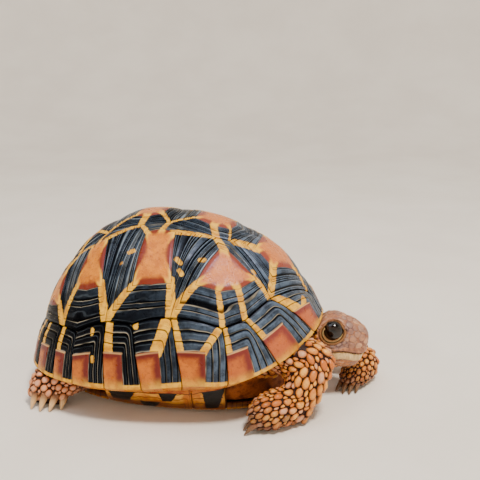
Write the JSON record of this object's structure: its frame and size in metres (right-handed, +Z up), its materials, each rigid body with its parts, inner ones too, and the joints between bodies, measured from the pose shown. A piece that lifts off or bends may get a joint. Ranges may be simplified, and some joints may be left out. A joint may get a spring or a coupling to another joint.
{
  "type": "young star tortoise",
  "caption": "Young Indian star tortoise standing with its head stretched out, dark domed shell with pale rays on each plate.",
  "frame": {"origin": "middle of the model's box on plan, at the height of the floor", "axes": "+X the way the animal looks, +Y its left side, +Z up"},
  "size_m": [0.1148, 0.0702, 0.0599],
  "materials": {
    "back_plates": "polished dark horn with pale rays",
    "rim_plates": "orange-brown horn with black panels",
    "belly_plates": "satin yellow horn with dark patches",
    "skin": "dry folded skin with small scales",
    "limb_scales": "overlapping horny scales",
    "beak": "dull pale horn",
    "claws": "dull brown horn with pale tips",
    "eye": "wet, nearly black"
  },
  "bodies": {
    "root": {"vertebral_1": "back_plates", "vertebral_2": "back_plates", "vertebral_3": "back_plates", "vertebral_4": "back_plates", "vertebral_5": "back_plates", "costal_right_1": "back_plates", "costal_right_2": "back_plates", "costal_right_3": "back_plates", "costal_right_4": "back_plates", "costal_left_1": "back_plates", "costal_left_2": "back_plates", "costal_left_3": "back_plates", "costal_left_4": "back_plates", "marginal_right_01": "rim_plates", "marginal_right_02": "rim_plates", "marginal_right_03": "rim_plates", "marginal_right_04": "rim_plates", "marginal_right_05": "rim_plates", "marginal_right_06": "rim_plates", "marginal_right_07": "rim_plates", "marginal_right_08": "rim_plates", "marginal_right_09": "rim_plates", "marginal_right_10": "rim_plates", "marginal_right_11": "rim_plates", "marginal_left_01": "rim_plates", "marginal_left_02": "rim_plates", "marginal_left_03": "rim_plates", "marginal_left_04": "rim_plates", "marginal_left_05": "rim_plates", "marginal_left_06": "rim_plates", "marginal_left_07": "rim_plates", "marginal_left_08": "rim_plates", "marginal_left_09": "rim_plates", "marginal_left_10": "rim_plates", "marginal_left_11": "rim_plates", "supracaudal": "rim_plates", "plastron_gular": "belly_plates", "plastron_humeral": "belly_plates", "plastron_pectoral": "belly_plates", "plastron_abdominal": "belly_plates", "plastron_femoral": "belly_plates", "plastron_anal": "belly_plates", "trunk": "skin", "neck": "skin", "head": "skin", "tail": "skin", "lower_jaw": "beak", "eye_right": "eye", "eye_left": "eye", "foreleg_right": "limb_scales", "forefoot_right": "limb_scales", "foreleg_left": "limb_scales", "forefoot_left": "limb_scales", "thigh_right": "limb_scales", "hind_foot_right": "limb_scales", "thigh_left": "limb_scales", "hind_foot_left": "limb_scales"}
  },
  "joints": []
}
